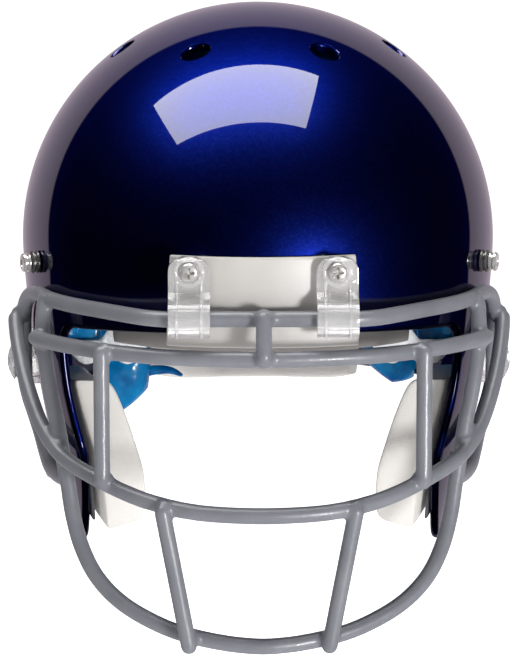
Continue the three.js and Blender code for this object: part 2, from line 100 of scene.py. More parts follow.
def outside(point):
    """0 on the outer surface, and it grows outwards."""
    x, y, z = point
    if z >= 0:
        return (x / HALF_WIDTH) ** 2 + (y / HALF_LENGTH) ** 2 + (z / CROWN) ** 2 - 1
    power, scale = plan_power(z), level_scale(z)
    return abs(x / HALF_WIDTH / scale) ** power + abs(y / HALF_LENGTH / scale) ** power - 1


def surface_normal(point, step=0.1):
    normal = Vector()
    for axis in range(3):
        ahead, behind = Vector(point), Vector(point)
        ahead[axis] += step
        behind[axis] -= step
        normal[axis] = outside(ahead) - outside(behind)
    return normal.normalized()


def shell_point(angle, z, inset=0.0):
    """The point of the surface moved inwards by `inset`, at an angle round Z from +X towards +Y."""
    power = plan_power(z)
    along, across = cos(angle), sin(angle)
    scale = level_scale(z, inset) / (abs(along) ** power + abs(across) ** power) ** (1 / power)
    return Vector(((HALF_WIDTH - inset) * scale * along, (HALF_LENGTH - inset) * scale * across, z))


def reach(other_share, z, inset=0.0):
    """Share of one half-size that the plan reaches at a share of the other half-size."""
    scale = level_scale(z, inset)
    power = plan_power(z)
    return scale * max(0.0, 1 - abs(other_share / scale) ** power) ** (1 / power)


def side_point(side, y, z, inset=0.0):
    return Vector((side * (HALF_WIDTH - inset) * reach(y / (HALF_LENGTH - inset), z, inset), y, z))


def end_point(end, x, z, inset=0.0):
    return Vector((x, end * (HALF_LENGTH - inset) * reach(x / (HALF_WIDTH - inset), z, inset), z))


def top_point(x, y, inset=0.0):
    share = 1 - (x / (HALF_WIDTH - inset)) ** 2 - (y / (HALF_LENGTH - inset)) ** 2
    return Vector((x, y, (CROWN - inset) * sqrt(max(0.0, share))))


def placed(point, axis=None):
    """A matrix whose local Z leaves the shell at a point: along an axis, or square to the surface."""
    turn = Z_AXIS.rotation_difference(axis or surface_normal(point))
    return Matrix.Translation(point) @ turn.to_matrix().to_4x4()


def mix(a, b, t):
    return a + (b - a) * t


def clamp(share):
    return min(1.0, max(0.0, share))


# ---- Mesh helpers ----


def make_mesh(name, verts, faces):
    mesh = bpy.data.meshes.new(name)
    mesh.from_pydata([Vector(v) * MM for v in verts], [], faces)
    mesh.validate()
    mesh.update()
    return mesh


def make_object(name, mesh):
    obj = bpy.data.objects.new(name, mesh)
    bpy.context.scene.collection.objects.link(obj)
    return obj


def close_up(mesh):
    """Merges doubled corners and turns every face outwards."""
    bm = bmesh.new()
    bm.from_mesh(mesh)
    bmesh.ops.remove_doubles(bm, verts=bm.verts, dist=1e-6)
    bmesh.ops.recalc_face_normals(bm, faces=bm.faces)
    bm.to_mesh(mesh)
    bm.free()


def make_solid(name, shape):
    """A closed object from (verts, faces), without a look yet."""
    mesh = make_mesh(name, *shape)
    close_up(mesh)
    return make_object(name, mesh)


def set_material(obj, material):
    """One material for the whole piece, its cuts included."""
    obj.data.materials.clear()
    obj.data.materials.append(material)


def give_look(obj, material, sharp_angle):
    """One material and smooth shading, apart from edges sharper than an angle."""
    obj.data.shade_smooth()
    obj.data.set_sharp_from_angle(angle=radians(sharp_angle))
    set_material(obj, material)
    return obj


def make_piece(name, shape, material, sharp_angle):
    return give_look(make_solid(name, shape), material, sharp_angle)


def finish_piece(obj, slot, *nodes, body="helmet"):
    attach(obj, body)
    if nodes:
        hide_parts(*nodes)


def apply_modifiers(obj):
    bpy.context.view_layer.update()
    evaluated = obj.evaluated_get(bpy.context.evaluated_depsgraph_get())
    mesh = bpy.data.meshes.new_from_object(evaluated)
    obj.modifiers.clear()
    obj.data = mesh
    return obj


def round_edges(obj, width, segments, angle=35):
    bevel = obj.modifiers.new("round_edges", "BEVEL")
    bevel.width = width * MM
    bevel.segments = segments
    bevel.limit_method = "ANGLE"
    bevel.angle_limit = radians(angle)
    return apply_modifiers(obj)


def boolean(obj, shape, operation):
    """Cuts away a (verts, faces) shape, or keeps what lies inside it."""
    tool = make_solid("tool", shape)
    modifier = obj.modifiers.new(operation.lower(), "BOOLEAN")
    modifier.operation = operation
    modifier.object = tool
    modifier.solver = "EXACT"
    apply_modifiers(obj)
    bpy.data.objects.remove(tool)


def cut(obj, shape):
    boolean(obj, shape, "DIFFERENCE")


def keep(obj, shape):
    boolean(obj, shape, "INTERSECT")


def grid_faces(rows, cols, wrap=False):
    faces = []
    for i in range(rows - 1):
        for j in range(cols if wrap else cols - 1):
            after = (j + 1) % cols
            faces.append((i * cols + j, i * cols + after, (i + 1) * cols + after, (i + 1) * cols + j))
    return faces


def two_grids(rows, cols):
    """Faces of a front grid and of a back grid that follows it, which faces the other way."""
    front = grid_faces(rows, cols)
    return front + [tuple(rows * cols + i for i in reversed(face)) for face in front]


def end_caps(count, total):
    """The first and the last ring of a skin, as two faces."""
    return [tuple(range(count - 1, -1, -1)), tuple(range(total - count, total))]


def edge_spaced(count):
    """Shares from 0 to 1, closer together near both ends."""
    return [0.5 - 0.5 * cos(pi * i / (count - 1)) for i in range(count)]


def sweep(points, radius, sides, closed=False, cap_rings=4):
    """A round tube along points, with hemispherical ends unless it closes on itself."""
    points = [Vector(p) for p in points]
    count = len(points)
    tangents = []
    for i in range(count):
        before = points[(i - 1) % count] if closed or i > 0 else points[i]
        after = points[(i + 1) % count] if closed or i < count - 1 else points[i]
        tangents.append((after - before).normalized())
    across = tangents[0].orthogonal().normalized()
    rings = []
    for point, tangent in zip(points, tangents):
        across = (across - tangent * across.dot(tangent)).normalized()
        rings.append((point, across.copy(), tangent.cross(across), radius, tangent))
    if not closed:
        first, last = rings[0], rings[-1]
        for i in range(1, cap_rings + 1):
            angle = pi / 2 * i / cap_rings * 0.98
            out, ring_radius = radius * sin(angle), radius * cos(angle)
            rings.insert(0, (first[0] - first[4] * out, first[1], first[2], ring_radius, first[4]))
            rings.append((last[0] + last[4] * out, last[1], last[2], ring_radius, last[4]))
    verts = []
    for centre, a, b, ring_radius, _ in rings:
        for j in range(sides):
            angle = 2 * pi * j / sides
            verts.append(centre + (a * cos(angle) + b * sin(angle)) * ring_radius)
    faces = grid_faces(len(rings), sides, wrap=True)
    if closed:
        last_start = (len(rings) - 1) * sides
        offset = ring_offset(verts[:sides], verts[last_start:])
        faces += [(last_start + j, last_start + (j + 1) % sides,
                   (j + 1 + offset) % sides, (j + offset) % sides) for j in range(sides)]
    else:
        faces += end_caps(sides, len(verts))
    return verts, faces


def ring_offset(first, last):
    """How many corners a closed tube's last ring is turned from its first."""
    return min(range(len(first)), key=lambda j: (first[j] - last[0]).length)


def smooth_path(points, per_span=8):
    """The CAD wires' curve: a centripetal Catmull-Rom spline through the points."""
    points = [Vector(p) for p in points]
    padded = [points[0] * 2 - points[1], *points, points[-1] * 2 - points[-2]]
    path = []
    for i in range(len(points) - 1):
        p0, p1, p2, p3 = padded[i:i + 4]
        d0, d1, d2 = (sqrt((b - a).length) for a, b in ((p0, p1), (p1, p2), (p2, p3)))
        leave = ((p1 - p0) / d0 - (p2 - p0) / (d0 + d1) + (p2 - p1) / d1) * d1
        arrive = ((p2 - p1) / d1 - (p3 - p1) / (d1 + d2) + (p3 - p2) / d2) * d1
        for k in range(per_span):
            t = k / per_span
            path.append(p1 * (2 * t**3 - 3 * t**2 + 1) + leave * (t**3 - 2 * t**2 + t)
                        + p2 * (3 * t**2 - 2 * t**3) + arrive * (t**3 - t**2))
    path.append(points[-1])
    return path


def revolve(profile, place, segments):
    """A solid of revolution about a place's local Z. Each ring is (radius, z) or (radius, z, shape),
    where shape(angle) scales the radius."""
    verts = []
    for radius, z, *shape in profile:
        for j in range(segments):
            angle = 2 * pi * j / segments
            r = radius * (shape[0](angle) if shape else 1)
            verts.append(place @ Vector((r * cos(angle), r * sin(angle), z)))
    faces = grid_faces(len(profile), segments, wrap=True)
    if profile[0][:2] != profile[-1][:2]:
        faces += end_caps(segments, len(verts))
    return verts, faces


def prism(outline, direction, start, end):
    """An outline of (a, b) pairs, extruded along X (outline in Y, Z) or along Z (outline in X, Y)."""
    def at(a, b, c):
        return (c, a, b) if direction == "X" else (a, b, c)
    count = len(outline)
    verts = [at(a, b, start) for a, b in outline] + [at(a, b, end) for a, b in outline]
    return verts, end_caps(count, 2 * count) + grid_faces(2, count, wrap=True)


def prism_front(outline, start, end):
    """An outline of (x, z) pairs, extruded along Y."""
    verts, faces = prism(outline, "Z", start, end)
    return [(x, y, z) for x, z, y in verts], faces


def arc(centre, radius, start, end, steps=16):
    """Points on an arc, with its angles in degrees."""
    points = []
    for i in range(steps + 1):
        angle = radians(mix(start, end, i / steps))
        points.append((centre[0] + radius * cos(angle), centre[1] + radius * sin(angle)))
    return points


def curve_on(outline, *controls, steps=16):
    """Extends an outline from its last point by a straight line or a Bezier curve."""
    start = outline[-1]
    for i in range(1, steps + 1):
        left = [Vector(p) for p in (start, *controls)]
        while len(left) > 1:
            left = [mix(a, b, i / steps) for a, b in zip(left, left[1:])]
        outline.append(tuple(left[0]))


def merged(*shapes):
    """Several (verts, faces) shapes as one."""
    verts, faces = [], []
    for shape_verts, shape_faces in shapes:
        start = len(verts)
        verts += shape_verts
        faces += [tuple(start + i for i in face) for face in shape_faces]
    return verts, faces


def cylinder(place, radius, start, end, segments=48):
    return revolve([(radius, start), (radius, end)], place, segments)


# ---- Materials ----


class Nodes:
    """Short ways to add nodes to a node tree."""

    def __init__(self, owner):
        owner.use_nodes = True
        self.tree = owner.node_tree

    def node(self, kind, **values):
        node = self.tree.nodes.new(kind)
        for key, value in values.items():
            if key in node.inputs:
                node.inputs[key].default_value = value
            else:
                setattr(node, key, value)
        return node

    def link(self, output, target):
        self.tree.links.new(output, target)

    def remap(self, factor, low, high, start=0.0, end=1.0):
        node = self.node("ShaderNodeMapRange")
        for socket, value in (("To Min", low), ("To Max", high), ("From Min", start), ("From Max", end)):
            node.inputs[socket].default_value = value
        self.link(factor, node.inputs["Value"])
        return node.outputs["Result"]


class Look(Nodes):
    """A node material with a Principled shader, and procedural patterns for its sockets."""

    def __init__(self, name, **values):
        self.material = bpy.data.materials.new(name)
        super().__init__(self.material)
        self.shader = self.tree.nodes["Principled BSDF"]
        self.where = self.node("ShaderNodeTexCoord").outputs["Object"]
        for socket, value in values.items():
            self.shader.inputs[socket.replace("_", " ")].default_value = value

    def noise(self, scale, detail=3.0):
        node = self.node("ShaderNodeTexNoise", Scale=scale, Detail=detail, Roughness=0.55)
        self.link(self.where, node.inputs["Vector"])
        return node.outputs["Fac"]

    def cells(self, scale):
        node = self.node("ShaderNodeTexVoronoi", Scale=scale)
        self.link(self.where, node.inputs["Vector"])
        return node

    def ramp(self, factor, *stops):
        node = self.node("ShaderNodeValToRGB")
        while len(node.color_ramp.elements) < len(stops):
            node.color_ramp.elements.new(0.5)
        for element, (position, colour) in zip(node.color_ramp.elements, stops):
            element.position = position
            element.color = (*colour, 1)
        self.link(factor, node.inputs["Fac"])
        return node.outputs["Color"]

    def bump(self, height, strength, distance, below=None):
        node = self.node("ShaderNodeBump", Strength=strength, Distance=distance)
        self.link(height, node.inputs["Height"])
        if below is not None:
            self.link(below, node.inputs["Normal"])
        return node.outputs["Normal"]

    def set(self, socket, output):
        self.link(output, self.shader.inputs[socket])

    def colour(self, scale, dark, light, detail=3.0, levels=(0.3, 0.7)):
        """Drifts between two colours, which it reaches at two levels of a noise."""
        self.set("Base Color", self.ramp(self.noise(scale, detail), *zip(levels, (dark, light))))

    def roughness(self, scale, low, high):
        self.set("Roughness", self.remap(self.noise(scale), low, high))

    def grain(self, scale, detail, strength, distance, below=None):
        self.set("Normal", self.bump(self.noise(scale, detail), strength, distance, below))

    def leather(self, below=None):
        self.set("Normal", self.bump(self.cells(900).outputs["Distance"], 0.3, 0.0003, below))


def shell_paint(name="shell_paint", coat=1.0, depth=1.0):
    """Royal blue flake paint under a deep clear coat. A lower depth gives a darker blue, which the rim roll's
    copy uses as painted shade.
    """
    look = Look(name, Metallic=1.0, Specular_Tint=(0.3, 0.3, 0.5, 1), Coat_Weight=coat, Coat_Roughness=0.02,
                Coat_IOR=1.5)
    flake = look.node("ShaderNodeSeparateColor")
    look.link(look.cells(1400).outputs["Color"], flake.inputs["Color"])
    blues = (0.0, (0.0016, 0.005, 0.08)), (0.6, (0.0021, 0.0065, 0.098)), (1.0, (0.0035, 0.0095, 0.125))
    stops = [(at, Vector(blue) * depth) for at, blue in blues]
    look.set("Base Color", look.ramp(flake.outputs["Red"], *stops))
    look.roughness(90, 0.38, 0.41)
    look.set("Normal", look.bump(flake.outputs["Green"], 0.045, 0.0003))
    look.set("Coat Normal", look.bump(look.noise(45, 1.0), 0.03, 0.0005))
    return look.material


def wire_vinyl():
    """Thick grey dip coating, a little uneven where it has run."""
    look = Look("wire_vinyl", IOR=1.5, Coat_Weight=0.12, Coat_Roughness=0.1)
    look.colour(60, (0.13, 0.134, 0.152), (0.157, 0.161, 0.18))
    look.roughness(300, 0.33, 0.44)
    look.grain(900, 1.0, 0.08, 0.0003, look.bump(look.noise(70, 2.0), 0.16, 0.0016))
    return look.material


def bumper_plastic():
    look = Look("bumper_plastic", IOR=1.48)
    look.colour(25, (0.39, 0.375, 0.357), (0.435, 0.42, 0.40), 4.0)
    look.roughness(200, 0.34, 0.48)
    look.grain(1400, 2.0, 0.18, 0.0003)
    return look.material


def clear_plastic():
    """Clear moulded plastic, faintly milky, with flow marks."""
    look = Look("clear_plastic", IOR=1.46, Transmission_Weight=0.78, Specular_IOR_Level=0.6)
    look.colour(40, (0.93, 0.92, 0.92), (0.99, 0.98, 0.98))
    look.roughness(120, 0.03, 0.12)
    look.grain(260, 2.0, 0.25, 0.0006)
    return look.material


def plated_steel():
    look = Look("plated_steel", Metallic=0.65)
    look.colour(350, (0.50, 0.48, 0.46), (0.82, 0.81, 0.80), levels=(0.35, 0.7))
    look.roughness(700, 0.16, 0.34)
    look.grain(1800, 1.0, 0.1, 0.0002)
    return look.material


def dark_collar():
    look = Look("dark_collar", Metallic=0.8)
    look.colour(400, (0.13, 0.124, 0.12), (0.30, 0.29, 0.285))
    look.roughness(600, 0.2, 0.42)
    look.grain(1500, 1.0, 0.1, 0.0002)
    return look.material


def pad_vinyl():
    """Off-white vinyl skin with shallow folds and a fine leather grain."""
    look = Look("pad_vinyl", IOR=1.45, Sheen_Weight=0.15, Sheen_Roughness=0.5)
    look.colour(18, (0.47, 0.45, 0.425), (0.55, 0.53, 0.505), 5.0, levels=(0.25, 0.75))
    look.roughness(150, 0.42, 0.58)
    look.leather(look.bump(look.noise(35, 2.0), 0.25, 0.0015))
    return look.material


def shaded_brow_vinyl():
    """The brow pad's darker skin: a dark grey painted shade for the shadow the pad sits in."""
    look = Look("shaded_brow_vinyl", IOR=1.45)
    look.colour(22, (0.11, 0.104, 0.10), (0.16, 0.152, 0.146), 4.0)
    look.roughness(150, 0.4, 0.56)
    look.leather()
    return look.material


def cushion_film():
    """Translucent teal air cushion film."""
    look = Look("cushion_film", IOR=1.45, Transmission_Weight=0.3, Specular_IOR_Level=0.6)
    look.colour(55, (0.0, 0.06, 0.24), (0.0, 0.22, 0.50), levels=(0.35, 0.65))
    look.roughness(110, 0.14, 0.26)
    look.grain(90, 2.0, 0.6, 0.002)
    return look.material


def clear_film():
    """Milky clear vinyl film."""
    look = Look("clear_film", IOR=1.45, Transmission_Weight=0.35)
    look.colour(30, (0.62, 0.63, 0.64), (0.78, 0.79, 0.80))
    look.roughness(110, 0.2, 0.35)
    look.grain(90, 2.0, 0.6, 0.002)
    return look.material


def backing_sheet():
    look = Look("backing_sheet", IOR=1.5)
    look.colour(80, (0.03, 0.03, 0.034), (0.06, 0.06, 0.066))
    look.roughness(400, 0.5, 0.7)
    look.grain(1200, 1.0, 0.2, 0.0003)
    return look.material


def black_rubber():
    look = Look("black_rubber", IOR=1.5)
    look.colour(120, (0.012, 0.012, 0.013), (0.03, 0.03, 0.031))
    look.roughness(500, 0.6, 0.8)
    look.grain(1600, 1.0, 0.25, 0.0003)
    return look.material


def pale_floor():
    look = Look("pale_floor", Roughness=0.9, Emission_Color=(1, 1, 1, 1), Emission_Strength=1.1)
    look.colour(3, (0.88, 0.88, 0.88), (0.92, 0.92, 0.92), 2.0)
    return look.material


PAINT = shell_paint()
# The rim roll's paint is a darker blue with a thinner coat: painted shade that dims the lamp's highlight line
# along the rolled rim.
SHADED_RIM_PAINT = shell_paint("rim_paint_painted_shade", 0.35, 0.4)
VINYL_WIRE = wire_vinyl()
BUMPER = bumper_plastic()
CLEAR = clear_plastic()
STEEL = plated_steel()
COLLAR = dark_collar()
FOAM = pad_vinyl()
# The brow pad's dark grey skin is painted shade.
SHADED_BROW_FOAM = shaded_brow_vinyl()
FILM = cushion_film()
CLEAR_FILM = clear_film()
BACKING = backing_sheet()
RUBBER = black_rubber()

# ---- Places that pieces share ----


def screw_places():
    """What each screw holds, its side, place, height of the head's underside and depth of the nut's seat."""
    result = []
    for name, side in SIDES:
        front = placed(end_point(-1, side * FRONT_CLIP_X, FRONT_SCREW_Z), Vector((0, -1, 0)))
        cheek = placed(side_point(side, SIDE_SCREW_Y, SIDE_SCREW_Z), Vector((side, 0, 0)))
        rear = placed(end_point(1, side * REAR_SCREW_X, REAR_SCREW_Z))
        result += [("front_clip", name, front, FRONT_HEAD_BASE, FRONT_NUT_SEAT),
                   ("side_clip", name, cheek, SIDE_HEAD_BASE, SIDE_NUT_SEAT),
                   ("rear_bumper", name, rear, PLATE + 1.2, T_NUT_SEAT)]
    return result


def snap_places():
    return [(f"{level}_{name}", placed(side_point(side, y, z)))
            for level, y, z in CHIN_SNAPS for name, side in SIDES]


def valve_places():
    return [(name, placed(top_point(0, y))) for name, y in VALVES]


# ---- Shell ----


def side_outline():
    """What is kept of the dome, seen from the side, from the brow rim under the flap to the nape."""
    outline = [(2 - HALF_LENGTH, BROW_RIM)]
    curve_on(outline, (TEMPLE - 14, BROW_END), steps=12)
    curve_on(outline, (TEMPLE, BROW_END), (TEMPLE, BROW_END - 16))
    curve_on(outline, (JAW, -92), steps=8)
    curve_on(outline, (JAW + 6, -112), (JAW + 24, FLAP_BOTTOM), (JAW + 34, FLAP_BOTTOM), steps=20)
    outline.append((FLAP_BACK, FLAP_BOTTOM))
    curve_on(outline, (-12, FLAP_BOTTOM), (-20, NAPE - 4), (30, NAPE), steps=24)
    return outline[1:]


def thick_dome(around=288, rows=150, bottom=-158):
    """The dome's wall before its rim and holes are cut."""
    levels = [CROWN * cos(pi / 2 * i / rows) for i in range(rows + 1)]
    levels += [bottom * i / rows for i in range(1, rows + 1)]
    verts = []
    for inset, way in ((0, levels), (WALL, levels[::-1])):
        for z in way:
            z_inset = z * (CROWN - inset) / CROWN if z > 0 else z
            verts += [shell_point(2 * pi * j / around, z_inset, inset) for j in range(around)]
    return verts, grid_faces(2 * len(levels), around, wrap=True)


def set_surface_normals(mesh):
    """Exact normals on the two curved faces of the wall, so that reflections run smoothly past the cuts."""
    kinds = []
    for vertex in mesh.vertices:
        point = vertex.co / MM
        normal = surface_normal(point)
        slope = outside(point + normal * 0.5) - outside(point - normal * 0.5)
        kinds.append((outside(point) / slope, normal))
    normals = []
    for polygon in mesh.polygons:
        depths = [kinds[i][0] for i in polygon.vertices]
        facing = kinds[polygon.vertices[0]][1].dot(polygon.normal)
        for i in polygon.vertices:
            if max(abs(d) for d in depths) < 0.3 and facing > 0.5:
                normals.append(kinds[i][1])
            elif max(depths) < -2.5 and facing < -0.5:
                normals.append(-kinds[i][1])
            else:
                normals.append(polygon.normal)
    mesh.normals_split_custom_set(normals)


def vent_profile(rounding=1.7, sunk=0.2):
    """A vent's cutter: it flares out at the surface, which leaves a rounded edge."""
    flare = []
    for i in range(9):
        angle = pi / 2 * i / 8
        wider = rounding * (1 - cos(angle))
        flare.append((VENT_RADIUS + wider, rounding * (sin(angle) - 1) - sunk))
    return [(VENT_RADIUS, -12), *flare, (VENT_RADIUS + rounding + 0.1, 6)]


def make_shell():
    shell = make_solid("helmet_shell", thick_dome())
    far = 170
    kept = [(-far, BROW_RIM), *side_outline(), (far, NAPE), (far, far), (-far, far)]
    keep(shell, prism(kept, "X", -HALF_WIDTH - 6, HALF_WIDTH + 6))
    holes = []
    for _, side in SIDES:
        holes += [revolve(vent_profile(), placed(top_point(side * x, y)), 64) for x, y in VENTS]
        ear = placed(side_point(side, EAR_HOLE_Y, EAR_HOLE_Z), Vector((side, 0, 0)))
        holes.append(cylinder(ear, EAR_HOLE_RADIUS, -14, 14, 72))
    holes += [cylinder(place, SCREW_HOLE, -14, 10, 32) for _, _, place, _, _ in screw_places()]
    holes += [cylinder(place, SCREW_HOLE, -14, 10, 32) for _, place in snap_places()]
    holes += [cylinder(place, VALVE_HOLE, -12, 10, 32) for _, place in valve_places()]
    cut(shell, merged(*holes))
    shell.data.shade_smooth()
    set_surface_normals(shell.data)
    set_material(shell, PAINT)
    finish_piece(shell, "shell", "shell")


def plan_angle(point):
    """The angle shell_point() takes for a point of the wall's middle layer."""
    return atan2(point.y / (HALF_LENGTH - WALL / 2), point.x / (HALF_WIDTH - WALL / 2))


def rim_point(angle, height_at):
    """The wall's middle at an angle, where the rim's height depends on y."""
    point = shell_point(angle, height_at(0), WALL / 2)
    for _ in range(3):
        point = shell_point(angle, height_at(point.y), WALL / 2)
    return point


def brow_height(y):
    share = (y + HALF_LENGTH - 2) / (HALF_LENGTH - 2 + TEMPLE - 14)
    return mix(BROW_RIM, BROW_END, clamp(share))


def rim_path():
    """The middle of the wall along the whole rim, as a closed loop."""
    left = [side_point(1, y, z, WALL / 2) for y, z in side_outline() if y >= TEMPLE - 14]
    brow_end, nape_end = plan_angle(left[0]), plan_angle(left[-1])
    brow = [rim_point(mix(-pi / 2, brow_end, i / 60), brow_height) for i in range(60)]
    nape = [rim_point(mix(nape_end, pi / 2, i / 60), lambda y: NAPE) for i in range(1, 61)]
    half = brow + left + nape
    other = [Vector((-p.x, p.y, p.z)) for p in reversed(half[1:-1])]
    return half + other


def make_rim_roll():
    """The rolled edge that rounds the rim off, in a darker copy of the shell paint: painted shade that dims
    the lamp's highlight line along the edge.
    """
    roll = make_piece("shell_rim_roll", sweep(rim_path(), WALL / 2 + 0.05, 14, closed=True), SHADED_RIM_PAINT, 80)
    finish_piece(roll, "shell")


# ---- Facemask ----


def both_sides(half):
    return [(-x, y, z) for x, y, z in reversed(half[1:])] + list(half)


def facemask_wires():
    y, z = BROW_BAR_Y, BROW_BAR_Z
    brow_bar_and_side_loops = both_sides([
        (0, y, z), (22, y, z), (34, y, z), (42, y, z),
        (51, -144.5, z), (61, -134.5, z), (72, -122, z), (84, -108, z), (92.5, -95.5, z), (98, -84.5, z),
        (103.5, -72, z + 0.5), (107.8, -60, z - 2), (110.6, -49, z - 8), (LOOP_X - 0.2, -40, z - 17),
        (LOOP_X, LOOP_Y - 0.4, LOOP_MIDDLE + 10), (LOOP_X, LOOP_Y, LOOP_MIDDLE),
        (LOOP_X, LOOP_Y - 0.4, LOOP_MIDDLE - 9),
        (110.3, -38.5, -71), (107, -46, -79), (103.5, -57, -86.5), (100.5, -69, -93.5), (97.5, -82, -98),
        (93.5, -94, -99.5), (89.5, -103.5, -99.5),
    ])
    plan = (0, -155.5), (24, -153.3), (48, -146), (72, -131), (90, -113), (101, -97.5), (103.3, -93.5)
    second_bar = both_sides([(x, y, SECOND_BAR_Z) for x, y in plan])
    side_legs_and_chin_bar = both_sides([
        (0, -157.5, -164.5), (32, -150.5, -161.5), (50, -142.5, -156.5), (65, -134, -149),
        (75.5, -125.5, -139.5), (82.3, -118, -127.5), (86.3, -112.5, -114), (88.6, -109, -100),
        (91, -106.3, -87), (93.5, -103.5, -73), (96.8, -99.5, -58), (99.2, -95, -43), (100.3, -90, -30),
        (99.6, -86.5, -20.5),
    ])
    middle_bar = both_sides([
        (0, -165, -103.6), (30, -160.5, -102.8), (50, -151, -100.2), (62, -143, -97.3), (75, -132.5, -93),
        (86, -119.5, -89.2), (92.5, -110.5, -85.5), (100, -99, -77), (107, -83, -63.5), (111.2, -69, -52),
        (114.3, -55, -40), (115.3, -48, -33.5),
    ])
    uprights = [[(0, -155.4, -17.6), (0, -161, -33.6)]]
    for _, side in SIDES:
        uprights.append([(side * 72, -137.5, SECOND_BAR_Z), (side * 71.8, -140.5, -91.5)])
        uprights.append([(side * 42.7 + LOWER_UPRIGHT_SHIFT, -159, -103),
                         (side * 31.3 + LOWER_UPRIGHT_SHIFT, -157.7, -164.2)])
    return [brow_bar_and_side_loops, second_bar, side_legs_and_chin_bar, middle_bar], uprights


def weld_fillet(a, b, along_a, along_b):
    """Coating drawn into the corner where two wires cross: a small smooth lump between them."""
    middle = (a + b) / 2
    apart = (b - a).normalized() if (b - a).length > 0.5 else along_a.cross(along_b).normalized()
    across = along_a.normalized()
    other = apart.cross(across).normalized()
    shape = Matrix((across * WIRE * 1.3, other * WIRE * 1.3, apart * WIRE * 0.9)).transposed().to_4x4()
    rows = [(cos(pi * (i / 10 - 0.5)), sin(pi * (i / 10 - 0.5))) for i in range(1, 10)]
    return revolve(rows, Matrix.Translation(middle) @ shape, 20)


def melt_together(obj, voxel, steps):
    """Joins the shapes of a piece into one skin with soft inner corners."""
    remesh = obj.modifiers.new("one_skin", "REMESH")
    remesh.mode = "VOXEL"
    remesh.voxel_size = voxel * MM
    remesh.use_smooth_shade = True
    soften = obj.modifiers.new("soften", "SMOOTH")
    soften.factor = 0.5
    soften.iterations = steps
    return apply_modifiers(obj)


def stretch_of(path, third):
    """The points of a wire on the wearer's right (-1), in the middle (0) or on the left (1)."""
    return [p for p in path if (p.x > 8) - (p.x < -8) == third]


def weld_shapes(path_a, path_b):
    """The fillets where two wires touch: one for each third of the mask at most."""
    shapes = []
    for third in (-1, 0, 1):
        here, there = stretch_of(path_a, third), stretch_of(path_b, third)
        if len(here) < 2 or len(there) < 2:
            continue
        gap, a, b = min(((p - q).length, k, m) for k, p in enumerate(here) for m, q in enumerate(there))
        if gap < 2.2 * WIRE:
            ahead_a = here[min(a + 1, len(here) - 1)] - here[max(a - 1, 0)]
            ahead_b = there[min(b + 1, len(there) - 1)] - there[max(b - 1, 0)]
            shapes.append(weld_fillet(here[a], there[b], ahead_a, ahead_b))
    return shapes


def make_facemask():
    curved, straight = facemask_wires()
    paths = [smooth_path(points) for points in curved]
    paths += [[mix(Vector(a), Vector(b), i / 24) for i in range(25)] for a, b in straight]
    shapes = [sweep(path, WIRE, 20) for path in paths]
    for i, path in enumerate(paths):
        for other in paths[i + 1:]:
            shapes += weld_shapes(path, other)
    mask = make_piece("facemask_wires", merged(*shapes), VINYL_WIRE, 80)
    melt_together(mask, 0.8, 8)
    finish_piece(mask, "wire", "facemask", body="facemask")


# ---- Bumper plates ----


def make_plate(name, end, half_width, bottom, top, corner, lines=(), flare=0.0, cols=96, rows=44):
    """A plate with rounded corners and edges that follows the shell's front (end -1) or back (end 1).
    Each of lines is a raised line so far from the edge, and flare narrows the plate towards its top."""
    middle, half_height = (bottom + top) / 2, (top - bottom) / 2
    edge, line_height, line_width = 0.9, 0.35, 0.5

    def at(u, v, outside_face):
        x, z = u * half_width, v * half_height
        x_over, z_over = abs(x) - (half_width - corner), abs(z) - (half_height - corner)
        to_edge = min(half_width - abs(x), half_height - abs(z))
        if x_over > 0 and z_over > 0:
            shrink = max(x_over, z_over) / hypot(x_over, z_over)
            x = copysign(half_width - corner + x_over * shrink, x)
            z = copysign(half_height - corner + z_over * shrink, z)
            to_edge = corner - max(x_over, z_over)
        pull = edge - sqrt(max(0.0, edge**2 - max(0.0, edge - to_edge) ** 2))
        raised = line_height * sum(exp(-((to_edge - line) / line_width) ** 2) for line in lines)
        inset = pull - raised - PLATE_GAP - PLATE if outside_face else -PLATE_GAP - pull
        return end_point(end, x * (1 - flare * v), middle + z, inset)

    us, vs = [2 * u - 1 for u in edge_spaced(cols)], [2 * v - 1 for v in edge_spaced(rows)]
    verts = [at(u, v, face) for face in (True, False) for v in vs for u in us]
    count = cols * rows
    border = list(range(cols)) + [i * cols + cols - 1 for i in range(1, rows)]
    border += [(rows - 1) * cols + j for j in range(cols - 2, -1, -1)]
    border += [i * cols for i in range(rows - 2, 0, -1)]
    faces = two_grids(rows, cols)
    faces += [(a, b, b + count, a + count) for a, b in zip(border[-1:] + border, border)]
    return make_piece(name, (verts, faces), BUMPER, 50)


def make_lip(steps=60):
    """The return of the front bumper under the brow rim."""
    profile = [(LIP_BOTTOM, LIP_OUTER), (LIP_BOTTOM, LIP_INNER - 0.9), (LIP_BOTTOM + 0.5, LIP_INNER - 0.2),
               (LIP_TOP - 0.9, LIP_INNER), (LIP_TOP - 0.3, LIP_INNER - 0.6), (LIP_TOP, LIP_OUTER)]
    verts = []
    for i in range(steps + 1):
        x = mix(-LIP_HALF_WIDTH, LIP_HALF_WIDTH, i / steps)
        verts += [end_point(-1, x, z, inset) for z, inset in profile]
    faces = grid_faces(steps + 1, len(profile), wrap=True) + end_caps(len(profile), len(verts))
    return make_piece("front_bumper_lip", (verts, faces), BUMPER, 50)


def make_bumpers():
    front = make_plate("front_bumper_plate", -1, FRONT_BUMPER_HALF_WIDTH,
                       FRONT_BUMPER_BOTTOM, FRONT_BUMPER_TOP, 0.9, flare=0.02)
    finish_piece(front, "bumper", "front_bumper")
    finish_piece(make_lip(), "bumper")
    rear = make_plate("rear_bumper_plate", 1, REAR_BUMPER_HALF_WIDTH,
                      REAR_BUMPER_BOTTOM, REAR_BUMPER_TOP, 6, (3.0,))
    finish_piece(rear, "bumper", "rear_bumper")


# ---- Clips ----


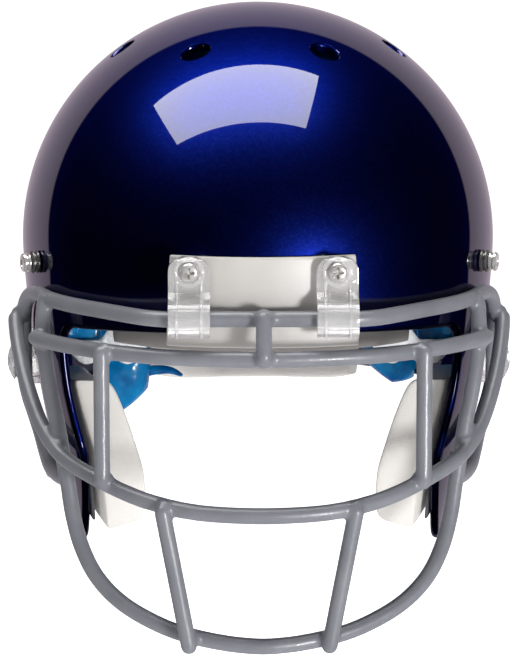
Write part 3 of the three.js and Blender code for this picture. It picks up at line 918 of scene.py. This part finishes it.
def dome_solid(inset, around=180, rows=60, bottom=-150):
    """Everything inside the surface at an inset."""
    levels = [(CROWN - inset) * cos(pi / 2 * i / rows) for i in range(rows + 1)]
    levels += [bottom * i / rows for i in range(1, rows + 1)]
    verts = [shell_point(2 * pi * j / around, z, inset) for z in levels for j in range(around)]
    return verts, grid_faces(len(levels), around, wrap=True) + end_caps(around, len(verts))[1:]


def make_front_clip(name, side):
    """A strap looped round the brow bar, with a rounded boss for the screw and moulded ribs."""
    face, radius = FRONT_CLIP_FACE, CLIP_BORE + CLIP_STRAP
    outline = [(-122, FRONT_CLIP_TOP), (face + 3, FRONT_CLIP_TOP)]
    curve_on(outline, (face, FRONT_CLIP_TOP), (face, FRONT_CLIP_TOP - 3), steps=6)
    outline += [(face, -7), *arc((BROW_BAR_Y, BROW_BAR_Z), radius, 100, 300, 32), (-122, -24)]
    start = side * FRONT_CLIP_X - FRONT_CLIP_WIDTH / 2
    clip = make_solid(f"front_clip_{name}_clear", prism(outline, "X", start, start + FRONT_CLIP_WIDTH))
    keep(clip, prism_front(front_clip_front(side), -170, -110))
    cut(clip, dome_solid(-(2 * PLATE_GAP + PLATE)))
    bar = Matrix.Translation((start - 5, BROW_BAR_Y, BROW_BAR_Z)) @ Matrix.Rotation(pi / 2, 4, "Y")
    screw = placed(Vector((side * FRONT_CLIP_X, face, FRONT_SCREW_Z)), Vector((0, -1, 0)))
    screw_bore = cylinder(screw, 3.0, -30, 5, 40)
    cut(clip, merged(cylinder(bar, CLIP_BORE, 0, FRONT_CLIP_WIDTH + 10, 40), screw_bore))
    round_edges(clip, 0.5, 2)
    ribs = []
    for across in (-5.4, 5.4):
        x = side * FRONT_CLIP_X + across
        path = [(x, face - 0.1, -1.5), (x, face - 0.1, -6.6)]
        path += [(x, a, b) for a, b in arc((BROW_BAR_Y, BROW_BAR_Z), radius - 0.1, 104, 262, 24)]
        ribs.append(sweep(path, 0.8, 10))
    collar = [(4.9, -0.4), (6.9, -0.4), (6.9, 0.5), (6.3, 0.9), (5.5, 0.9), (4.9, 0.5), (4.9, -0.4)]
    ribs.append(revolve(collar, screw, 48))
    detail = make_mesh("detail", *merged(*ribs))
    close_up(detail)
    join_meshes(clip, detail)
    give_look(clip, CLEAR, 38)
    finish_piece(clip, "clip", f"front_clip_{name}")


def join_meshes(obj, other):
    bm = bmesh.new()
    bm.from_mesh(obj.data)
    bm.from_mesh(other)
    bm.to_mesh(obj.data)
    bm.free()


def front_clip_front(side, corner=6):
    """The clip's outline from the front: straight sides and a rounded top."""
    left, right = side * FRONT_CLIP_X - FRONT_CLIP_WIDTH / 2, side * FRONT_CLIP_X + FRONT_CLIP_WIDTH / 2
    return ([(left, -40), (right, -40)]
            + arc((right - corner, FRONT_CLIP_TOP - corner), corner, 0, 90, 10)
            + arc((left + corner, FRONT_CLIP_TOP - corner), corner, 90, 180, 10))


def make_side_clip(name, side):
    """A block that grips the side loop in an open channel, with a slot that slides off its screw."""
    tab, outer, front, back = SIDE_CLIP_TAB, SIDE_CLIP_OUTER, SIDE_CLIP_FRONT, SIDE_CLIP_BACK
    outline = [(95, back), (tab, back), (tab, back - 14.5)]
    curve_on(outline, (outer, back - 15), (outer, back - 20), steps=10)
    outline += [(outer, front), (LOOP_X + SIDE_CLIP_CHANNEL, front)]
    outline += arc((LOOP_X, LOOP_Y), SIDE_CLIP_CHANNEL, 0, 180, 20)
    outline += [(LOOP_X - SIDE_CLIP_CHANNEL, front), (95, front)]
    outline = [(side * x, y) for x, y in outline]
    clip = make_solid(f"side_clip_{name}_clear", prism(outline, "Z", SIDE_CLIP_BOTTOM, SIDE_CLIP_TOP))
    keep(clip, prism(side_clip_profile(), "X", -140, 140))
    keep(clip, prism_front(side_clip_bulge(side), -60, 0))
    cut(clip, dome_solid(-PLATE_GAP))
    cut(clip, prism(slot_outline(), "X", -140, 140))
    round_edges(clip, 0.9, 3)
    give_look(clip, CLEAR, 38)
    finish_piece(clip, "clip", f"side_clip_{name}", body="facemask")


def side_clip_profile(corner=4):
    """The side clip's outline from the side, with rounded corners."""
    front, back = SIDE_CLIP_FRONT + corner, SIDE_CLIP_BACK - corner
    top, bottom = SIDE_CLIP_TOP - corner, SIDE_CLIP_BOTTOM + corner
    centres = (back, top), (front, top), (front, bottom), (back, bottom)
    return [p for i, centre in enumerate(centres) for p in arc(centre, corner, 90 * i, 90 * i + 90, 8)]


def side_clip_bulge(side):
    """The side clip's outline from the front: its outer side is an arc from top to bottom."""
    middle, half = (SIDE_CLIP_TOP + SIDE_CLIP_BOTTOM) / 2, (SIDE_CLIP_TOP - SIDE_CLIP_BOTTOM) / 2
    outline = [(side * 90, middle - half - 1), (side * 90, middle + half + 1)]
    for i in range(25):
        up = cos(pi * i / 24)
        outline.append((side * (SIDE_CLIP_OUTER - 6 * up**2), middle + (half + 1) * up))
    return outline


def slot_outline(half=3.2):
    """The side clip's slot from the side: straight from the screw, along the start of the mask's swing."""
    lever = Vector((SIDE_SCREW_Y - BROW_BAR_Y, SIDE_SCREW_Z - BROW_BAR_Z))
    way = Vector((-lever.y, lever.x)).normalized()
    turn = degrees(atan2(way.y, way.x))
    centre = Vector((SIDE_SCREW_Y, SIDE_SCREW_Z))
    far = centre + way * 30
    outline = arc(centre, half, turn + 90, turn + 270, 20)
    across = Vector((way.y, -way.x)) * half
    return outline + [tuple(far + across), tuple(far - across)]


# ---- Fasteners: local z is 0 on the shell's outer surface ----


def cross_recess(angle):
    """Radius of a four-armed driver recess."""
    return 0.34 + 0.66 * abs(cos(2 * angle)) ** 3


def make_turned(piece, slot, material, profile, place, segments, sharp_angle=40):
    """A turned piece, named after the node that it stands for and what it is made of."""
    obj = make_piece(piece, revolve(profile, place, segments), material, sharp_angle)
    finish_piece(obj, slot, piece.rpartition("_")[0])


def make_screw(name, place, head_base, seat):
    shank, head, pitch = SCREW_SHANK, SCREW_HEAD, THREAD_PITCH
    tip, top = -WALL - seat - T_NUT_THICKNESS, head_base + SCREW_HEAD_HEIGHT
    profile = [(0.01, tip - 0.4), (shank - 0.5, tip - 0.4), (shank, tip)]
    for i in range(int((head_base - tip - 3) / pitch)):
        z = tip + pitch * i
        profile += [(shank - 0.3, z + 0.2), (shank, z + 0.6)]
    profile += [(shank, head_base), (head - 0.2, head_base), (head, head_base + 0.3), (head, top - 1.0),
                (head - 0.2, top - 0.55), (head - 0.7, top - 0.15), (head - 1.2, top)]
    profile += [(2.8, top + 0.02, cross_recess), (2.7, top - 0.3, cross_recess),
                (1.5, top - 1.7, cross_recess), (0.02, top - 1.9)]
    make_turned(f"{name}_steel", "steel", STEEL, profile, place, 64, 42)


def make_t_nut(name, place, seat=T_NUT_SEAT):
    bore, barrel, flange = T_NUT_BORE, T_NUT_BARREL, T_NUT_FLANGE
    top = -WALL - seat
    bottom, barrel_top = top - T_NUT_THICKNESS, -1 - seat / 2
    profile = [(bore, bottom), (flange - 0.3, bottom), (flange, bottom + 0.3), (flange, top - 0.3),
               (flange - 0.3, top), (barrel, top), (barrel, barrel_top), (bore, barrel_top), (bore, bottom)]
    make_turned(f"{name}_steel", "steel", STEEL, profile, place, 40)


def make_chin_snap(name, place):
    """A stepped collar with a grooved stud, which a strap's snap presses over."""
    stud = [(0.01, -6.7), (1.9, -6.7), (1.9, 4.4), (4.1, 4.4), (4.4, 4.7), (4.4, 5.3), (3.7, 5.8), (3.7, 6.3),
            (4.4, 6.7), (4.4, 7.3), (4.2, 7.8), (3.6, 8.0), (2.2, 8.0), (2.0, 7.6), (0.01, 7.5)]
    collar = [(2.3, 0.4), (5.0, 0.4), (5.3, 0.7), (5.3, 1.5), (5.0, 1.8), (4.5, 2.0), (4.5, 2.4), (5.0, 2.6),
              (5.3, 2.9), (5.3, 3.4), (4.9, 3.8), (4.4, 4.0), (2.3, 4.0), (2.3, 0.4)]
    make_turned(f"chin_snap_stud_{name}_steel", "steel", STEEL, stud, place, 56)
    make_turned(f"chin_snap_collar_{name}_steel", "collar", COLLAR, collar, place, 56)
    make_t_nut(f"chin_snap_t_nut_{name}", place)


def make_valve(name, place):
    profile = [(1.0, -7), (3.6, -7), (4.0, -6.6), (4.0, 0.4), (5.7, 0.4), (6.0, 0.7), (5.8, 1.2), (5.0, 1.6),
               (3.2, 1.6), (2.4, 1.2), (1.2, 1.0), (1.0, 0.7), (1.0, -7)]
    make_turned(f"inflation_valve_{name}_rubber", "rubber", RUBBER, profile, place, 40)


# ---- Liner and jaw pads ----


def pillow(name, point, material, cols, rows, power=5.0, lobes=None, flat_back=0.35):
    """A crowned closed form in a patch: point(u, v, depth) with depth 0 against the shell and 1 at the head.
    lobes(u, v), from 0 to 1, sinks the head side into seams and channels."""
    front, back = [], []
    for v in edge_spaced(rows):
        for u in edge_spaced(cols):
            a, b = abs(2 * u - 1), abs(2 * v - 1)
            height = (max(0.0, 1 - a**power) * max(0.0, 1 - b**power)) ** (1 / power)
            depth = lobes(u, v) if lobes else 1.0
            front.append(point(u, v, flat_back + (1 - flat_back) * height * depth))
            back.append(point(u, v, flat_back - flat_back * height))
    return make_piece(name, (front + back, two_grids(rows, cols)), material, 60)


def angle_patch(start, end, bottom, top, outer_inset, inner_inset):
    """Maps a patch between two angles round the head and two heights."""
    def point(u, v, depth):
        angle = radians(mix(start, end, u))
        return shell_point(angle, mix(bottom, top, v), mix(outer_inset, inner_inset, depth))
    return point


def cushion_cells(across, up, valley=0.3, sharp=0.5):
    """Rows of air cells with welded valleys between them."""
    def lobes(u, v):
        cell = abs(sin(pi * across * u)) * abs(sin(pi * up * v))
        return valley + (1 - valley) * min(1.0, cell ** sharp * 1.15)
    return lobes


def settle(obj, pressure, most):
    """Inflates a pad a little with Cloth, where no point moves further than `most`."""
    rest = [v.co.copy() for v in obj.data.vertices]
    scene = bpy.context.scene
    cloth = obj.modifiers.new("cloth", "CLOTH")
    cloth.settings.use_pressure = True
    cloth.settings.uniform_pressure_force = pressure
    cloth.settings.effector_weights.gravity = 0
    cloth.settings.quality = 4
    cloth.point_cache.frame_end = 20
    for step in range(1, 15):
        scene.frame_set(step)
    apply_modifiers(obj)
    scene.frame_set(1)
    for vertex, before in zip(obj.data.vertices, rest):
        move = vertex.co - before
        if move.length > most * MM:
            vertex.co = before + move.normalized() * most * MM


def make_pad(name, slot, fill, *patch_and_shape, **shape):
    """A padded piece, named after the node that it stands for and its skin."""
    pad = pillow(name, *patch_and_shape, **shape)
    finish_piece(pad, slot, name.rpartition("_")[0])


def make_film(name, *patch_and_shape, **shape):
    """A bag or flap that stands for no CAD node of its own."""
    finish_piece(pillow(name, *patch_and_shape, flat_back=0.5, **shape), "cushion")


def make_liner():
    # The brow pad's dark grey skin is painted shade.
    make_pad("brow_pad_vinyl", "foam", 0.7, angle_patch(-133, -47, -37.6, 34, 11.5, 26), SHADED_BROW_FOAM, 70, 34,
             lobes=cushion_cells(3, 1, 0.62, 0.35))
    make_pad("back_cushion_film", "cushion", 0.8, angle_patch(55, 125, -56, 42, LINER_DEPTH, 29),
             FILM, 96, 96, 6, lobes=cushion_cells(3, 3))
    make_pad("nape_pad_vinyl", "foam", 0.7, nape_patch, FOAM, 110, 36, 7,
             lobes=cushion_cells(3, 1, 0.8, 0.3))
    make_pad("crown_cushion_film", "cushion", 0.8, crown_patch, FILM, 96, 96, 6, lobes=cushion_cells(3, 3))
    for name, side in SIDES:
        make_side_cushion(name, side)


def make_side_cushion(name, side):
    """The cushion over the ear, with its lobe behind the ear and its pocket and clear flap at the temple."""
    front, back = (-25, 26) if side > 0 else (205, 154)
    over_ear = angle_patch(front, back, -41, 44, LINER_DEPTH, 28.5)
    make_pad(f"side_cushion_{name}_film", "cushion", 0.8, over_ear, FILM, 90, 72, 6,
             lobes=cushion_cells(3, 2))
    drop = EAR_LOBE_LEFT_DROP if side > 0 else EAR_LOBE_RIGHT_DROP
    make_film(f"ear_lobe_{name}_film", ear_patch(side, drop), FILM, 40, 56, 3.2,
              lobes=cushion_cells(1, 2, 0.75, 0.4))
    if side < 0:
        make_spout(name, side)
    make_film(f"temple_pocket_{name}_film", temple_pocket_patch(side), FILM, 40, 30, 4)
    make_film(f"temple_flap_{name}_film", temple_patch(side), CLEAR_FILM, 60, 30, 3,
              lobes=cushion_cells(2, 1, 0.55, 0.5))


def nape_patch(u, v, depth):
    """Maps the roll at the nape, which hangs lowest in the middle."""
    bottom = -88.7 + 2.8 * abs(2 * u - 1) ** 6
    return angle_patch(56.5, 123.5, bottom, -60.6, 9.3, 25.5)(u, v, depth)


def ear_patch(side, drop, middle=67.5, half_width=14.3, top=-38, roundness=0.4):
    """Maps a bag that hangs behind the ear: u outwards, v up, depth forwards. Its lower edge slants down
    outwards and its corners are round."""
    def point(u, v, depth):
        across, up = 2 * u - 1, 2 * v - 1
        x = middle + half_width * mix(across, across * sqrt(1 - up**2 / 2), roundness)
        up = mix(up, up * sqrt(1 - across**2 / 2), roundness)
        bottom = mix(-drop + 10, -drop, clamp((x - 54) / 15))
        return Vector((side * x, mix(66, 40, depth), mix(bottom, top, (up + 1) / 2)))
    return point


def make_spout(name, side):
    """The filling tube that was sealed off and left at the bag's inner edge."""
    root, length, pinch = 57, 18, 0.75
    bends = (root, -77), (51, -75.5), (45, -75), (root - length + 0.5, -77.5)
    verts, faces = sweep(smooth_path([(side * x, 54, z) for x, z in bends], 6), 2.6, 16)
    tip = verts[-1]
    for vertex in verts:
        narrower = pinch * clamp((root - abs(vertex.x)) / length) ** 2
        vertex.x, vertex.z = mix(vertex.x, tip.x, narrower), mix(vertex.z, tip.z, narrower)
    spout = make_piece(f"ear_lobe_spout_{name}_film", (verts, faces), FILM, 60)
    finish_piece(spout, "cushion")


def temple_patch(side):
    """Maps the clear flap below the side cushion's front end: u outwards, v up, depth forwards."""
    def point(u, v, depth):
        dip = abs(sin(2 * pi * u)) ** 0.7
        top = mix(-34, -43, clamp(6 * u - 2.5))
        return Vector((side * mix(53, 91, u), mix(-50, -57, depth), mix(-45 - 9.5 * dip, top, v)))
    return point


def temple_pocket_patch(side):
    """Maps the side cushion's small front pocket: u outwards, v up, depth forwards."""
    def point(u, v, depth):
        return Vector((side * mix(75, 93, u), mix(-40, -49, depth), mix(-47, -36, v)))
    return point


def crown_patch(u, v, depth):
    return top_point(mix(-52, 52, u), mix(-50, 54, v), mix(LINER_DEPTH, 30, depth))


def jaw_front(z, turn=-98, sweep_back=12):
    """The jaw pad's front edge: nearly upright, then swept back to the tip."""
    if z > turn:
        return mix(JAW_PAD_FRONT, JAW_PAD_FRONT - 2, (-58 - z) / 40)
    return JAW_PAD_FRONT - 2 + sweep_back * ((turn - z) / 34) ** 1.6


def jaw_patch(side, margin, outer, inner, slant=0.0):
    """Maps a patch over the jaw flap: u from its front edge to its back, v from the bottom up.
    outer and inner are the insets of the two faces, at the bottom and at the top, and slant raises the
    bottom of the inner face."""
    def point(u, v, depth):
        z = mix(mix(JAW_PAD_TIP, JAW_PAD_HEEL, u) + margin + slant * depth, JAW_PAD_TOP - margin, v)
        y = mix(jaw_front(z) + 0.3 + margin, JAW_PAD_BACK - margin, u)
        return side_point(side, y, z, mix(mix(*outer, v), mix(*inner, v**4), depth))
    return point


def make_jaw_pads():
    for name, side in SIDES:
        patch = jaw_patch(side, 0, (10.5, 7.7), (28.8, 24), 5.5)
        pad = pillow(f"jaw_pad_{name}_vinyl", patch, FOAM, 48, 60, 12, flat_back=0.12)
        settle(pad, 1.5, 1.2)
        finish_piece(pad, "foam", f"jaw_pad_{name}")
        patch = jaw_patch(side, 4.2, (5.1, 5.1), (6.9, 6.9))
        sheet = pillow(f"jaw_pad_backing_{name}_sheet", patch, BACKING, 36, 44, 12, flat_back=0.5)
        _, snap_y, snap_z = CHIN_SNAPS[1]
        cut(sheet, cylinder(placed(side_point(side, snap_y, snap_z)), T_NUT_FLANGE + 0.8, -14, 2))
        set_material(sheet, BACKING)
        finish_piece(sheet, "backing", f"jaw_pad_backing_{name}")


# ---- Assembly ----

make_shell()
make_rim_roll()
make_facemask()
make_bumpers()
make_liner()
make_jaw_pads()
for side_name, side_sign in SIDES:
    make_front_clip(side_name, side_sign)
    make_side_clip(side_name, side_sign)
for held, side_name, spot, base, nut_seat in screw_places():
    make_screw(f"{held}_screw_{side_name}", spot, base, nut_seat)
    make_t_nut(f"{held}_t_nut_{side_name}", spot, nut_seat)
for snap_name, spot in snap_places():
    make_chin_snap(snap_name, spot)
for valve_name, spot in valve_places():
    make_valve(valve_name, spot)

# ---- Studio ----


def make_floor(height=-0.42, size=60.0):
    corners = [(x * size, y * size, height) for x, y in ((-1, -1), (1, -1), (1, 1), (-1, 1))]
    mesh = bpy.data.meshes.new("floor")
    mesh.from_pydata(corners, [], [(0, 1, 2, 3)])
    mesh.materials.append(pale_floor())
    floor = make_object("floor", mesh)
    floor.visible_glossy = False


def make_world(white=0.55, dark=0.004, tilt=-8.0, spread=47.5):
    """A white backdrop behind the helmet and a dark room in front of it. The camera always sees white."""
    world = bpy.data.worlds.new("studio")
    bpy.context.scene.world = world
    sky = Nodes(world)
    background = sky.tree.nodes["Background"]
    toward = sky.node("ShaderNodeVectorMath", operation="DOT_PRODUCT")
    toward.inputs[1].default_value = (0, cos(radians(tilt)), sin(radians(tilt)))
    sky.link(sky.node("ShaderNodeTexCoord").outputs["Generated"], toward.inputs[0])
    edge_out, edge_in = cos(radians(spread + 1.5)), cos(radians(spread))
    backdrop = sky.remap(toward.outputs["Value"], dark, white, edge_out, edge_in)
    camera_ray = sky.node("ShaderNodeLightPath").outputs["Is Camera Ray"]
    brighter = sky.node("ShaderNodeMath", operation="MAXIMUM")
    sky.link(backdrop, brighter.inputs[0])
    sky.link(camera_ray, brighter.inputs[1])
    sky.link(brighter.outputs["Value"], background.inputs["Strength"])
    tint = sky.node("ShaderNodeMix")
    tint.data_type = "RGBA"
    tint.inputs["A"].default_value = (1.0, 0.84, 0.95, 1)
    tint.inputs["B"].default_value = (1, 1, 1, 1)
    sky.link(camera_ray, tint.inputs["Factor"])
    sky.link(tint.outputs["Result"], background.inputs["Color"])


def add_light(name, location, target, size_x, size_y, power):
    data = bpy.data.lights.new(name, "AREA")
    data.shape = "RECTANGLE"
    data.size, data.size_y = size_x, size_y
    data.energy = power
    light = make_object(name, data)
    light.location = location
    way = Vector(target) - Vector(location)
    light.rotation_euler = way.to_track_quat("-Z", "Y").to_euler()
    return light


def make_lights():
    """An overhead softbox, a weak fill and a small lamp whose mirror image the front bumper hides."""
    add_light("softbox", (-0.24, -0.01, 1.2), (-0.24, -0.01, 0), 1.37, 0.72, 24.5)
    fill = add_light("front_fill", (-0.7, -2.2, 0.1), (0, -0.1, -0.05), 1.2, 1.2, 6)
    fill.visible_glossy = False
    add_light("front_lamp", (0.84, -1.58, -0.2), (0, -0.1, 0), 0.3, 0.3, 26)


def make_camera(azimuth=-1.0, elevation=9.0, distance=1.5, lens=168.0, drop=-46.3, across=0.6):
    """Looks at the helmet from the front and a little above."""
    data = bpy.data.cameras.new("camera")
    data.lens = lens
    data.sensor_width = 36
    camera = make_object("camera", data)
    a, e = radians(azimuth), radians(elevation)
    back = Vector((sin(a) * cos(e), -cos(a) * cos(e), sin(e)))
    turn = (-back).to_track_quat("-Z", "Y")
    up, right = turn @ Vector((0, 1, 0)), turn @ X_AXIS
    camera.rotation_mode = "QUATERNION"
    camera.rotation_quaternion = turn
    camera.location = back * distance + up * drop * MM + right * across * MM
    bpy.context.scene.camera = camera


make_floor()
make_world()
make_lights()
make_camera()
bpy.context.scene.view_settings.view_transform = "Standard"
